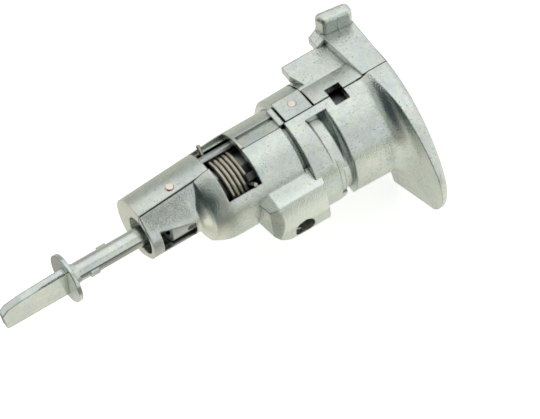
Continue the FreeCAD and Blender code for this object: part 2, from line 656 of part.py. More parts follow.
def wafer(index):
    """A wafer plate with its window and the ear that its spring lifts."""
    y = wafer_y(index)
    y0 = y - WAFER_THICKNESS / 2
    y1 = y + WAFER_THICKNESS / 2
    half = WAFER_WIDTH / 2
    plate = box(-half, half, y0, y1, -WAFER_FOOT_Z, PLUG_R).common(cylinder(PLUG_R - RUNNING, y0, y1))
    window = box(-KEYWAY_WIDTH / 2 - RUNNING, KEYWAY_WIDTH / 2 + RUNNING, y0 - 1, y1 + 1,
                 -KEYWAY_HEIGHT / 2, KEYWAY_HEIGHT / 2)
    ear_tab = box(half - OVERLAP, WAFER_EAR_X, y0, y1, WAFER_EAR_Z, WAFER_EAR_Z + WAFER_EAR_HEIGHT)
    return about_y(fused(plate.cut(window), ear_tab), wafer_turn(index))


def wafer_slot(index):
    """The slot that one wafer slides in, with the side pocket for its ear and spring."""
    y0 = wafer_y(index) - WAFER_THICKNESS / 2 - RUNNING
    y1 = wafer_y(index) + WAFER_THICKNESS / 2 + RUNNING
    half = WAFER_WIDTH / 2 + SLACK
    slot = box(-half, half, y0, y1, -2 * PLUG_R, 2 * PLUG_R)
    pocket_top = WAFER_EAR_Z + WAFER_EAR_HEIGHT + WAFER_TRAVEL + SLACK
    pocket = box(0, WAFER_EAR_X + SLACK, y0, y1, -EAR_POCKET_FOOT_Z, pocket_top)
    return about_y(slot.fuse(pocket), wafer_turn(index))


def coil(mean_r, wire, start_deg, end_deg, start_y, end_y, steps, sides):
    """Wire sections of a coil about the lock axis, turning and advancing evenly between two ends."""
    rings = []
    for step in range(steps + 1):
        share = step / steps
        angle = math.radians(start_deg + (end_deg - start_deg) * share)
        radial = Vector(math.sin(angle), 0, math.cos(angle))
        middle = radial * mean_r + Vector(0, start_y + (end_y - start_y) * share, 0)
        rings.append(wire_ring(middle, radial, Y_AXIS, wire, sides))
    return rings


def wire_ring(middle, across, along, wire, sides):
    """One polygon section of a wire, in the plane of two directions."""
    corners = []
    for side in range(sides):
        turn = 2 * math.pi * (side + 0.5) / sides
        corners.append(middle + across * (wire / 2 * math.cos(turn)) + along * (wire / 2 * math.sin(turn)))
    return Part.makePolygon(corners + corners[:1])


def lofted(rings):
    return Part.makeLoft(rings, True, True)


def wafer_spring(index):
    """A small coil between the floor of the side pocket and the wafer's ear."""
    floor = -EAR_POCKET_FOOT_Z + SLACK
    length = WAFER_EAR_Z - SLACK - floor
    middle_x = (WAFER_WIDTH / 2 + WAFER_EAR_X) / 2
    rise = length - WAFER_SPRING_WIRE
    spring = lofted(coil(WAFER_SPRING_R, WAFER_SPRING_WIRE, 0, 360 * WAFER_SPRING_TURNS, 0, rise,
                         WAFER_SPRING_STEPS, WAFER_SPRING_SIDES))
    spring.rotate(Vector(0, 0, 0), Vector(1, 0, 0), 90)
    spring.translate(Vector(middle_x, wafer_y(index), floor + WAFER_SPRING_WIRE / 2))
    return about_y(spring, wafer_turn(index))


def key_plug():
    """The plug: head, slot, wafer slots, shutter well, clip groove and drive tongue."""
    clip_end = CLIP_GROOVE_Y + CLIP_THICKNESS + SLACK
    body = turned([(0, CAP_THICKNESS), (PLUG_HEAD_R, CAP_THICKNESS), (PLUG_HEAD_R, PLUG_HEAD_END_Y),
                   (PLUG_R, PLUG_HEAD_END_Y), (PLUG_R, CLIP_GROOVE_Y),
                   (CLIP_BORE_R - RUNNING, CLIP_GROOVE_Y), (CLIP_BORE_R - RUNNING, clip_end),
                   (PLUG_R - 2 * SLACK, clip_end), (PLUG_R - 2 * SLACK, PLUG_TAIL_END_Y),
                   (0, PLUG_TAIL_END_Y)])
    tongue = box(-TONGUE_WIDTH / 2, TONGUE_WIDTH / 2, PLUG_TAIL_END_Y - OVERLAP,
                 PLUG_TAIL_END_Y + TONGUE_LENGTH, -TONGUE_HEIGHT / 2, TONGUE_HEIGHT / 2)
    keyway_end = wafer_y(WAFER_COUNT - 1) + WAFER_PITCH / 2
    keyway = box(-KEYWAY_WIDTH / 2, KEYWAY_WIDTH / 2, 0, keyway_end,
                 -KEYWAY_HEIGHT / 2, KEYWAY_HEIGHT / 2)
    well_x = SHUTTER_PIN_X + SHUTTER_BARREL_R + SLACK
    well_z = KEYWAY_HEIGHT / 2 + SLACK
    tip_r = math.hypot(SHUTTER_REACH, SHUTTER_PIN_Y - CAP_THICKNESS - SLACK)
    flap_x = SHUTTER_PIN_X - tip_r - SLACK
    flap_y = SHUTTER_PIN_Y + math.sqrt(tip_r ** 2 - (SHUTTER_PIN_X + KEYWAY_WIDTH / 2) ** 2) + SLACK
    well = box(KEYWAY_WIDTH / 2 - OVERLAP, well_x, 0, SHUTTER_WELL_END_Y, -well_z, well_z)
    flap_room = box(flap_x, well_x, 0, flap_y, -well_z, well_z)
    cuts = [keyway, well, flap_room, shutter_pin_bar(SHUTTER_PIN_R + PRESS_ROOM)]
    cuts += [wafer_slot(index) for index in range(WAFER_COUNT)]
    return one_solid(body.fuse(tongue).cut(cuts))


def shutter_pin_bar(radius):
    half = KEYWAY_HEIGHT / 2 + SHUTTER_PIN_SEAT
    return Part.makeCylinder(radius, 2 * half, Vector(SHUTTER_PIN_X, SHUTTER_PIN_Y, -half))


def shutter():
    """The dust flap behind the slot, hinged on its pin."""
    half = KEYWAY_HEIGHT / 2 - RUNNING
    barrel_tube = Part.makeCylinder(SHUTTER_BARREL_R, 2 * half, Vector(SHUTTER_PIN_X, SHUTTER_PIN_Y, -half))
    flap = box(SHUTTER_PIN_X - SHUTTER_REACH, SHUTTER_PIN_X, CAP_THICKNESS + SLACK,
               CAP_THICKNESS + SLACK + SHUTTER_THICKNESS, -half, half)
    return fused(barrel_tube, flap).cut(shutter_pin_bar(SHUTTER_PIN_R + RUNNING))


def plug_cap():
    """The pressed cap over the plug's head, with the slot."""
    disc = cylinder(CAP_R, 0, CAP_THICKNESS)
    rim = [edge for edge in disc.Edges if edge.BoundBox.YMax < 0.01 and edge.Closed]
    disc = disc.makeFillet(CAP_THICKNESS / 2, rim[:1])
    slot = box(-KEYWAY_WIDTH / 2, KEYWAY_WIDTH / 2, -1, CAP_THICKNESS + 1,
               -KEYWAY_HEIGHT / 2, KEYWAY_HEIGHT / 2)
    return disc.cut(slot)


def plug_clip():
    """The open ring that keeps the plug in its liner."""
    y0 = CLIP_GROOVE_Y + SLACK / 2
    ring = tube(CLIP_R, CLIP_BORE_R, y0, y0 + CLIP_THICKNESS)
    mouth = box(0, 2 * CLIP_R, y0 - 1, y0 + CLIP_THICKNESS + 1, -CLIP_MOUTH / 2, CLIP_MOUTH / 2)
    return ring.cut(mouth)


def finger(side, end_y):
    """One finger of the driver, just beside a leg of the return spring."""
    beside_leg = math.degrees((FINGER_WIDTH / 2 + SPRING_WIRE / 2 + SLACK) / FINGER_R)
    y0 = DRIVER_START_Y + DRIVER_DISC - OVERLAP
    ring = tube(DRIVER_DISC_R, FINGER_R, y0, end_y)
    strip = box(-FINGER_WIDTH / 2, FINGER_WIDTH / 2, y0 - 1, end_y + 1, 0, 2 * BODY_R)
    return about_y(ring.common(strip), side * (SPRING_LEG_ANGLE - beside_leg))


def driver():
    """The driver: slotted disc, spring hub, two fingers and the journal with the rod socket."""
    disc_end = DRIVER_START_Y + DRIVER_DISC
    body = turned([(0, DRIVER_START_Y), (DRIVER_DISC_R, DRIVER_START_Y), (DRIVER_DISC_R, disc_end),
                   (DRIVER_HUB_R, disc_end), (DRIVER_HUB_R, DRIVER_HUB_END_Y),
                   (JOURNAL_R, DRIVER_HUB_END_Y), (JOURNAL_R, DRIVER_END_Y), (0, DRIVER_END_Y)])
    slot = box(-TONGUE_WIDTH / 2 - SLACK, TONGUE_WIDTH / 2 + SLACK, DRIVER_START_Y - 1,
               PLUG_TAIL_END_Y + TONGUE_LENGTH + SLACK, -TONGUE_HEIGHT / 2 - SLACK,
               TONGUE_HEIGHT / 2 + SLACK)
    socket = cylinder(SOCKET_R, SOCKET_START_Y, DRIVER_END_Y + 1)
    cross_hole = pivot_bar(PIVOT_PIN_R + RUNNING, JOURNAL_R + 1)
    shape = fused(body, finger(-1, SHORT_FINGER_END_Y), finger(1, LONG_FINGER_END_Y))
    return one_solid(shape.cut([slot, socket, cross_hole]))


def pivot_bar(radius, half_length):
    return Part.makeCylinder(radius, 2 * half_length, Vector(-half_length, PIVOT_Y, 0), Vector(1, 0, 0))


def return_spring():
    """The torsion spring on the driver's hub, with a straight leg at each end."""
    coils = lofted(coil(SPRING_R, SPRING_WIRE, SPRING_LEG_ANGLE, SPRING_LEG_ANGLE - 360 * SPRING_SWEEP,
                        SPRING_TAIL_Y, SPRING_HEAD_Y, SPRING_STEPS, SPRING_SIDES))
    legs = []
    for side, y, reach in ((1, SPRING_TAIL_Y, SPRING_TAIL_LEG_R), (-1, SPRING_HEAD_Y, SPRING_HEAD_LEG_R)):
        angle = math.radians(side * SPRING_LEG_ANGLE)
        radial = Vector(math.sin(angle), 0, math.cos(angle))
        tangent = Vector(math.cos(angle), 0, -math.sin(angle))
        foot = radial * (SPRING_R - SPRING_WIRE / 2) + Vector(0, y, 0)
        tip = radial * reach + Vector(0, y, 0)
        legs.append(lofted([wire_ring(foot, tangent, Y_AXIS, SPRING_WIRE, SPRING_SIDES),
                            wire_ring(tip, tangent, Y_AXIS, SPRING_WIRE, SPRING_SIDES)]))
    return one_solid(coils.fuse(legs))


def rod_pin():
    return pivot_bar(PIVOT_PIN_R, JOURNAL_R - SLACK)


def tail_rod():
    """The rod in one piece: round head, shank, collar and flat blade."""
    collar_y0 = COLLAR_Y - COLLAR_THICKNESS / 2
    collar_y1 = COLLAR_Y + COLLAR_THICKNESS / 2
    head = Part.makeSphere(ROD_HEAD_R, Vector(0, PIVOT_Y, 0))
    step_y = DRIVER_END_Y + ROD_STEP
    shank = turned([(0, PIVOT_Y), (ROD_NECK_R, PIVOT_Y), (ROD_NECK_R, step_y), (ROD_R, step_y + ROD_CONE),
                    (ROD_R, collar_y0 - ROD_FLARE_LENGTH), (ROD_R + ROD_FLARE, collar_y0),
                    (COLLAR_R, collar_y0), (COLLAR_R, collar_y1), (0, collar_y1)])
    half = BLADE_THICKNESS / 2
    top = BLADE_TOP_Z
    foot = BLADE_FOOT_Z
    nose = BLADE_ROUND
    blade = prism([(-half, collar_y1 - OVERLAP, top), (-half, BLADE_TIP_Y - BLADE_TAPER, top - nose / 2),
                   (-half, BLADE_TIP_Y - nose, top - nose), (-half, BLADE_TIP_Y, top - 2 * nose),
                   (-half, BLADE_TIP_Y - BLADE_SLANT, foot + nose / 4),
                   (-half, BLADE_TIP_Y - BLADE_SLANT - nose / 2, foot), (-half, collar_y1 - OVERLAP, foot)],
                  (BLADE_THICKNESS, 0, 0))
    flash_x = ROD_R + FLASH_PROUD
    flash = box(0, flash_x, FLASH_START_Y, FLASH_START_Y + FLASH_LENGTH, -FLASH_WIDTH / 2, FLASH_WIDTH / 2)
    gate = box(-flash_x, 0, GATE_START_Y, GATE_START_Y + FLASH_LENGTH, -FLASH_WIDTH / 2, FLASH_WIDTH / 2)
    drift = PIVOT_PIN_R + RUNNING
    spread = ROD_HEAD_R * math.tan(math.radians(ROD_SWING)) + RUNNING
    hole = box(-2 * ROD_HEAD_R, 2 * ROD_HEAD_R, PIVOT_Y - drift - spread, PIVOT_Y + drift + spread,
               -drift, drift)
    return one_solid(fused(head, shank, blade, flash, gate).cut(hole))


def build():
    shapes = {
        "housing_main": housing_main(),
        "housing_arm": housing_arm(),
        "housing_cover": housing_cover(),
        "housing_pins": housing_pins(),
        "liner_sleeve": liner_sleeve(),
        "key_plug": key_plug(),
        "plug_cap": plug_cap(),
        "plug_clip": plug_clip(),
        "shutter": shutter(),
        "shutter_pin": shutter_pin_bar(SHUTTER_PIN_R),
        "driver": driver(),
        "return_spring": return_spring(),
        "rod_pin": rod_pin(),
        "tail_rod": tail_rod(),
    }
    for index in range(WAFER_COUNT):
        shapes["wafer_%d" % (index + 1)] = wafer(index)
        shapes["wafer_spring_%d" % (index + 1)] = wafer_spring(index)
    return shapes


os.makedirs("parts", exist_ok=True)
total = 0.0
for name, shape in build().items():
    if not shape.isValid():
        print("not valid:", name)
    total += shape.Volume
    shape.exportStep("parts/%s.step" % name)
    print("%-20s solids %d volume %.1f" % (name, len(shape.Solids), shape.Volume))
print("volume of all pieces %.0f mm3" % total)
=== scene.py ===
# %% [markdown]
# A car door lock cylinder, dressed for its portrait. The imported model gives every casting, pin and spring
# at its real size, so nothing here moves or resizes them. This file adds what a photograph shows: the
# finish of each metal, the screw thread that the drawing leaves out, and a plain bright studio round them.

import json
import math
from collections import namedtuple

import bpy
from mathutils import Matrix, Vector


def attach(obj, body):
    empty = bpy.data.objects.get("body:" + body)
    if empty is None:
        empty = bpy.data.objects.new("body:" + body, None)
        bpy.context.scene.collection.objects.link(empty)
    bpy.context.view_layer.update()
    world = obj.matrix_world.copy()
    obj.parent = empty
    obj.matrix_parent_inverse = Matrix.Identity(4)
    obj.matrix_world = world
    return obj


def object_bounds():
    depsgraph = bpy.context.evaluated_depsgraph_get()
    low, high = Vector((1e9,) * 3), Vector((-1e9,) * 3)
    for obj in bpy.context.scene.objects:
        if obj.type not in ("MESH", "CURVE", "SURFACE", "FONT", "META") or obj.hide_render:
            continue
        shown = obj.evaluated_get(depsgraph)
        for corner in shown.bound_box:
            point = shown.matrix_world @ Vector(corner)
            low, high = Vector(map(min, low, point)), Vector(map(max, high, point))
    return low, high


MM = 0.001
WHITE = (1.0, 1.0, 1.0, 1.0)
BLACK = (0.0, 0.0, 0.0, 1.0)
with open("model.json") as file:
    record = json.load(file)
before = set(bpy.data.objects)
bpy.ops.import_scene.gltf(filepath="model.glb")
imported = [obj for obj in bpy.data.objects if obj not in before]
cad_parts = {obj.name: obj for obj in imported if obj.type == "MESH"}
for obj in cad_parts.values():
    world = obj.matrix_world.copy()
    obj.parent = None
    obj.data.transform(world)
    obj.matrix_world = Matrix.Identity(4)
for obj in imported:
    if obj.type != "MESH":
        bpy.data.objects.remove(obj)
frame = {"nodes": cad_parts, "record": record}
nodes = frame["nodes"]
record = frame["record"]
cad_low, cad_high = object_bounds()
bpy.ops.object.select_all(action="DESELECT")
print("nodes", len(nodes), "size in mm", [round(side / MM, 1) for side in cad_high - cad_low])

# %% [markdown]
# A small product is photographed from far away with a long lens, which keeps its edges almost parallel. The
# camera stands high on the wing's side, a little towards the tail, so that the lock's axis runs from upper
# right to lower left. An orthographic camera would show the same, but a long lens also suits the other
# views.

# %% Camera
IMAGE_WIDTH_MM = 130.75
IMAGE_CENTRE = Vector((-11.75, 42.98, 0.0)) * MM
TO_RIGHT = Vector((-0.552, -0.832, -0.043)).normalized()
TO_CAMERA = Vector((-0.480, 0.2755, 0.832)).normalized()
LENS_MM = 500.0
SENSOR_MM = 36.0
CLIP_RANGE = 10.0


def add_camera():
    """The portrait camera, as far away as the lens needs for the picture's width."""
    data = bpy.data.cameras.new("portrait_camera")
    data.lens = LENS_MM
    data.sensor_width = SENSOR_MM
    distance = IMAGE_WIDTH_MM * MM * LENS_MM / SENSOR_MM
    data.clip_start = distance / CLIP_RANGE
    data.clip_end = distance * CLIP_RANGE
    camera = bpy.data.objects.new("portrait_camera", data)
    bpy.context.scene.collection.objects.link(camera)
    up = TO_CAMERA.cross(TO_RIGHT)
    turn = Matrix((TO_RIGHT, up, TO_CAMERA)).transposed()
    camera.matrix_world = Matrix.Translation(IMAGE_CENTRE + TO_CAMERA * distance) @ turn.to_4x4()
    bpy.context.scene.camera = camera
    return distance


print("camera %.2f m away" % add_camera())
bpy.context.scene.view_settings.view_transform = "Standard"

# %% [markdown]
# A material is a small machine of nodes, and every input of a node takes either another node's output or a
# plain value. These helpers add one node each and feed it either way, so that a finish reads as a few short
# sentences instead of a page of links.

# %% Helpers for nodes
COLOUR_A = 6
COLOUR_B = 7
COLOUR_OUT = 2


def add_node(tree, kind, **settings):
    """One shader node with its settings, such as an operation, a mode or a number of samples."""
    made = tree.nodes.new(kind)
    for name, value in settings.items():
        setattr(made, name, value)
    return made


def feed(tree, socket, value):
    """Links the socket to another node's output, or sets a plain value on it."""
    if isinstance(value, bpy.types.NodeSocket):
        tree.links.new(value, socket)
    else:
        socket.default_value = value


def counted(tree, operation, first, second):
    """A number worked out from two numbers, such as their product or the larger one."""
    made = add_node(tree, "ShaderNodeMath", operation=operation)
    feed(tree, made.inputs[0], first)
    feed(tree, made.inputs[1], second)
    return made.outputs[0]


def measured(tree, operation, first, second):
    """A number worked out from two vectors, such as their dot product or their distance."""
    made = add_node(tree, "ShaderNodeVectorMath", operation=operation)
    feed(tree, made.inputs[0], first)
    feed(tree, made.inputs[1], second)
    return made.outputs["Value"]


def mixed(tree, share, first, second):
    """The first colour where the share is 0, the second where it is 1, and a blend between."""
    mix = add_node(tree, "ShaderNodeMix", data_type="RGBA")
    feed(tree, mix.inputs["Factor"], share)
    feed(tree, mix.inputs[COLOUR_A], first)
    feed(tree, mix.inputs[COLOUR_B], second)
    return mix.outputs[COLOUR_OUT]


print("helpers: add_node, feed, counted, measured, mixed")

# %% [markdown]
# A stain or a shade starts at one value of a noise or a length and is full at another. A Color Ramp could
# do that by eye, but Map Range takes the real numbers. Its soft step has no visible start or end, which
# suits stains and shade, and its straight form suits a plain choice between two strengths.

# %% Helpers for stretches of a value
def soft_step(tree, value, low, high, at_low=0.0, at_high=1.0):
    """Goes softly from at_low to at_high while the value goes from low to high."""
    step = add_node(tree, "ShaderNodeMapRange", interpolation_type="SMOOTHSTEP")
    step.inputs["From Min"].default_value = low
    step.inputs["From Max"].default_value = high
    step.inputs["To Min"].default_value = at_low
    step.inputs["To Max"].default_value = at_high
    tree.links.new(value, step.inputs["Value"])
    return step.outputs["Result"]


def straight_step(tree, share, at_zero, at_one):
    """Goes straight from at_zero to at_one while the share goes from 0 to 1."""
    step = add_node(tree, "ShaderNodeMapRange")
    feed(tree, step.inputs["To Min"], at_zero)
    feed(tree, step.inputs["To Max"], at_one)
    feed(tree, step.inputs["Value"], share)
    return step.outputs["Result"]


print("helpers: soft_step, straight_step")

# %% [markdown]
# The studio is a white tent, and the world stands for its walls. What the camera, a shiny surface or glass
# sees there is pure white. Scattered light takes a little less, so that the pale castings don't burn out.
# Light Path tells the kinds of ray apart, which keeps this in one background instead of a backdrop mesh.

# %% White tent
WORLD_FILL = 0.80


def seen_by_eye_or_gloss(tree):
    """1 for a ray from the camera, off a shiny surface or through glass, and 0 for scattered light."""
    path = add_node(tree, "ShaderNodeLightPath")
    eye_or_gloss = counted(tree, "MAXIMUM", path.outputs["Is Camera Ray"], path.outputs["Is Glossy Ray"])
    return counted(tree, "MAXIMUM", eye_or_gloss, path.outputs["Is Transmission Ray"])


def add_world():
    """A white world, a little dimmer for scattered light."""
    world = bpy.data.worlds.new("white_tent")
    world.use_nodes = True
    tree = world.node_tree
    background = tree.nodes["Background"]
    background.inputs["Color"].default_value = WHITE
    strength = straight_step(tree, seen_by_eye_or_gloss(tree), WORLD_FILL, 1.0)
    tree.links.new(strength, background.inputs["Strength"])
    bpy.context.scene.world = world
    return world


print("world", add_world().name, "fill", WORLD_FILL)

# %% [markdown]
# Bright metal mirrors the table too. Round a real part the table falls off into grey away from the lamp,
# and that grey gives the undersides of the castings their tone. So the floor that glossy rays find is
# darker along two ways, each told by its azimuth from +Y towards +X, where it starts and ends, and what is
# left of the brightness. One pale patch stays bright under the rod's blade.

# %% The floor as the metal sees it
Fade = namedtuple("Fade", "azimuth start_mm end_mm share")
FADE_TO_TAIL = Fade(azimuth=-30, start_mm=34.0, end_mm=100.0, share=0.30)
FADE_TO_SIDE = Fade(azimuth=90, start_mm=18.0, end_mm=60.0, share=0.66)
PATCH_CENTRE = Vector((-14.0, 102.0, 0.0)) * MM
PATCH_INNER_MM = 17.0
PATCH_OUTER_MM = 36.0


def faded_along(tree, place, fade):
    """1 before the fade starts, and its share past its end."""
    angle = math.radians(fade.azimuth)
    along = measured(tree, "DOT_PRODUCT", place, (math.sin(angle), math.cos(angle), 0.0))
    return soft_step(tree, along, fade.start_mm * MM, fade.end_mm * MM, 1.0, fade.share)


def floor_brightness(tree, place):
    """How bright the metal finds the floor: both fades together, and full on the pale patch."""
    tail = faded_along(tree, place, FADE_TO_TAIL)
    side = faded_along(tree, place, FADE_TO_SIDE)
    both = counted(tree, "MULTIPLY", tail, side)
    apart = measured(tree, "DISTANCE", place, PATCH_CENTRE)
    patch = soft_step(tree, apart, PATCH_INNER_MM * MM, PATCH_OUTER_MM * MM, 1.0, 0.0)
    return counted(tree, "MAXIMUM", patch, both)


print("floor left past both fades %.2f" % (FADE_TO_TAIL.share * FADE_TO_SIDE.share))

# %% [markdown]
# The floor is a plain pale sheet just below the part. A little glow of its own lifts it to the white of the
# tent, and the part's soft shadow still shows. Glossy rays find the warmer, fading sheet instead.

# %% Pale floor
FLOOR_DROP = 0.4 * MM
FLOOR_SIZE = 6.0
FLOOR_COLOUR = (0.86, 0.86, 0.85, 1.0)
FLOOR_WARMTH = (0.84, 0.82, 0.70, 1.0)
FLOOR_ROUGHNESS = 0.9
FLOOR_SPECULAR = 0.1
FLOOR_LIFT = 0.55
FLOOR_GLOSS_LIFT = 0.33


def floor_material():
    """A matt pale sheet that the metal sees warmer and darker."""
    material = bpy.data.materials.new("pale_floor")
    material.use_nodes = True
    tree = material.node_tree
    surface = tree.nodes["Principled BSDF"]
    gloss = add_node(tree, "ShaderNodeLightPath").outputs["Is Glossy Ray"]
    place = add_node(tree, "ShaderNodeTexCoord").outputs["Object"]
    brightness = floor_brightness(tree, place)
    warm = mixed(tree, brightness, BLACK, FLOOR_WARMTH)
    feed(tree, surface.inputs["Base Color"], mixed(tree, gloss, FLOOR_COLOUR, warm))
    surface.inputs["Roughness"].default_value = FLOOR_ROUGHNESS
    surface.inputs["Specular IOR Level"].default_value = FLOOR_SPECULAR
    gloss_lift = counted(tree, "MULTIPLY", brightness, FLOOR_GLOSS_LIFT)
    surface.inputs["Emission Color"].default_value = WHITE
    feed(tree, surface.inputs["Emission Strength"], straight_step(tree, gloss, FLOOR_LIFT, gloss_lift))
    return material


bpy.ops.mesh.primitive_plane_add(size=FLOOR_SIZE, location=(0, 0, cad_low.z - FLOOR_DROP))
floor = bpy.context.object
floor.name = "studio_floor"
floor.data.materials.append(floor_material())
print("floor %.1f mm below the part" % (FLOOR_DROP / MM))

# %% [markdown]
# Bright metal has hardly a tone of its own: it shows what stands round it. A photographer sets up black and
# grey cards to draw the cool, dark bands that give a casting its form. Here a dark one stands beyond the
# tail and paler ones soften the rest. Each is told as the lock sees it: which way it lies from +Y towards
# +X, how high, how far, how large and how dark. Only reflections see the cards.

# %% Cards
Card = namedtuple("Card", "name azimuth elevation distance width height colour")
CARDS = (Card("dark_card", -21, 22, 0.50, 0.70, 0.60, (0.032, 0.056, 0.064)),
         Card("left_card", -70, 20, 0.66, 0.56, 0.90, (0.36, 0.37, 0.34)),
         Card("roof_card", -30, 64, 0.58, 0.92, 0.50, (0.44, 0.46, 0.42)),
         Card("right_card", 92, 11, 0.60, 0.50, 0.48, (0.50, 0.51, 0.47)),
         Card("side_card", 45, 55, 0.64, 0.46, 0.50, (0.78, 0.78, 0.76)))


def stand_card(card):
    """A card that stands its own way from the middle of the picture and faces it."""
    turn = Matrix.Rotation(-math.radians(card.azimuth), 3, "Z")
    lift = Matrix.Rotation(math.radians(card.elevation), 3, "X")
    way = turn @ lift @ Vector((0, 1, 0))
    bpy.ops.mesh.primitive_plane_add(size=1.0)
    sheet = bpy.context.object
    sheet.name = card.name
    sheet.scale = (card.width, card.height, 1.0)
    sheet.location = IMAGE_CENTRE + way * card.distance
    sheet.rotation_euler = (-way).to_track_quat("Z", "Y").to_euler()
    return sheet


def paint_card(sheet, colour):
    """Gives a card its shade and keeps it out of everything but reflections."""
    material = bpy.data.materials.new(sheet.name)
    material.use_nodes = True
    material.node_tree.nodes["Principled BSDF"].inputs["Base Color"].default_value = (*colour, 1.0)
    sheet.data.materials.append(material)
    sheet.visible_camera = False
    sheet.visible_shadow = False
    sheet.visible_diffuse = False


for card in CARDS:
    sheet = stand_card(card)
    paint_card(sheet, card.colour)
print("cards", [card.name for card in CARDS])

# %% [markdown]
# One large softbox hangs over the part. Its size makes the shadow soft and its highlight broad, and its
# power is only enough for colours to come out about as they are written.

# %% Softbox
SOFTBOX_SIZE = 1.1
SOFTBOX_PLACE = Vector((-0.10, 0.0, 0.85))
SOFTBOX_POWER = 0.9
SOFTBOX_COLOUR = (0.97, 1.0, 1.0)


def add_softbox():
    """A square area lamp that points at the middle of the picture."""
    data = bpy.data.lights.new("softbox", "AREA")
    data.shape = "SQUARE"
    data.size = SOFTBOX_SIZE
    data.energy = SOFTBOX_POWER
    data.color = SOFTBOX_COLOUR
    softbox = bpy.data.objects.new("softbox", data)
    softbox.location = SOFTBOX_PLACE
    softbox.rotation_euler = (IMAGE_CENTRE - SOFTBOX_PLACE).to_track_quat("-Z", "Y").to_euler()
    bpy.context.scene.collection.objects.link(softbox)
    return softbox


print("softbox of %.1f W" % add_softbox().data.energy)

# %% [markdown]
# Plating is never one colour. It drifts over a few millimetres from greenish to bluish grey, with a breath
# of pink. Each tint is laid on by its own noise, in one of three sizes of patch. The noise reads Object
# coordinates, metres in the lock's own frame, so the pattern stays on a piece that turns, and needs no UV
# map.

# %% Drifting tints
TINTS_PER_METRE = (130.0, 300.0, 700.0)
TINT_STARTS = 0.45
TINT_FULL = 0.62
TINT_SEED = 3.0
TINT_SEED_STEP = 5.0
NOISE_ROUGHNESS = 0.55


def noise_of(tree, place, per_metre, seed, detail=3.0):
    """Cloudy noise from 0 to 1 with so many patches to the metre. Another seed gives another cloud."""
    noise = add_node(tree, "ShaderNodeTexNoise", noise_dimensions="4D")
    noise.inputs["Scale"].default_value = per_metre
    noise.inputs["Detail"].default_value = detail
    noise.inputs["Roughness"].default_value = NOISE_ROUGHNESS
    noise.inputs["W"].default_value = seed
    tree.links.new(place, noise.inputs["Vector"])
    return noise.outputs["Fac"]


def drifting_tints(tree, place, colour, tints):
    """The body colour with patches of each tint over it."""
    for number, (tint, share) in enumerate(tints):
        per_metre = TINTS_PER_METRE[number % len(TINTS_PER_METRE)]
        drift = noise_of(tree, place, per_metre, TINT_SEED + TINT_SEED_STEP * number)
        laid_on = soft_step(tree, drift, TINT_STARTS, TINT_FULL, 0.0, share)
        colour = mixed(tree, laid_on, colour, (*tint, 1.0))
    return colour


print("tint patches in mm", [round(1.0 / (per_metre * MM), 1) for per_metre in TINTS_PER_METRE])

# %% [markdown]
# A line is painted along every corner, where a real rounded corner turns quickly through the light: pale on
# most metals as a painted highlight, and dark grey on the castings and the rod as a painted dark reflection.
# The Bevel node bends the surface's direction near a corner, as if it were rounded, and where the bent
# direction leaves the true one, there is an edge. It follows the shape by itself, so no mask has to be
# painted, and the same bent direction softens the shading.

# %% Painted edge lines
EDGE_SAMPLES = 6
EDGE_STARTS = 0.97
EDGE_FULL = 0.84


def rounded_direction(tree, edge_mm):
    """The surface's direction with its corners rounded by so many millimetres."""
    soft = add_node(tree, "ShaderNodeBevel", samples=EDGE_SAMPLES)
    soft.inputs["Radius"].default_value = edge_mm * MM
    return soft.outputs[0]


def painted_edge_lines(tree, colour, rounded, edge_colour, edge_share):
    """The colour with a line painted along every corner, a painted highlight when pale and a painted dark
    reflection when dark grey.
    """
    true_direction = add_node(tree, "ShaderNodeNewGeometry").outputs["Normal"]
    agreement = measured(tree, "DOT_PRODUCT", rounded, true_direction)
    edge_line = soft_step(tree, agreement, EDGE_STARTS, EDGE_FULL, 0.0, edge_share)
    return mixed(tree, edge_line, colour, (*edge_colour, 1.0))


print("an edge starts at a bend of %.0f degrees" % math.degrees(math.acos(EDGE_STARTS)))

# %% [markdown]
# Grooves, joints and the roots of ribs hold shade and a little dirt. They could be painted by hand, but
# Ambient Occlusion looks round each point for walls near by, within a distance that suits the metal's own
# hollows, and needs no new work when a shape changes.

# %% Dark hollows
HOLLOW_SAMPLES = 8
HOLLOW_STARTS = 0.80
HOLLOW_FULL = 0.30


def dark_hollows(tree, colour, hollow_mm, hollow, hollow_share):
    """The colour, darker where walls stand close by."""
    openness = add_node(tree, "ShaderNodeAmbientOcclusion", samples=HOLLOW_SAMPLES, only_local=False)
    openness.inputs["Distance"].default_value = hollow_mm * MM
    shaded = soft_step(tree, openness.outputs["AO"], HOLLOW_STARTS, HOLLOW_FULL, 0.0, hollow_share)
    return mixed(tree, shaded, colour, (*hollow, 1.0))


print("a hollow starts where %.0f%% of the sky is left" % (100 * HOLLOW_STARTS))

# %% [markdown]
# Die-cast zinc is peppered with pores and specks under half a millimetre. As geometry they would cost
# thousands of faces. Here only the peaks of a fine noise are used, so that they stay small and apart.

# %% Specks
SPECK_MM = 0.45
SPECK_STARTS = 0.60
SPECK_FULL = 0.74
SPECK_SEED = 9.0
SPECK_COLOUR = (0.16, 0.17, 0.16, 1.0)


def specks(tree, place, colour, speck_share):
    """The colour with small dark specks strewn over it."""
    peaks = noise_of(tree, place, 1.0 / (SPECK_MM * MM), SPECK_SEED, detail=1.0)
    dots = soft_step(tree, peaks, SPECK_STARTS, SPECK_FULL, 0.0, speck_share)
    return mixed(tree, dots, colour, SPECK_COLOUR)


print("specks of about %.2f mm" % SPECK_MM)
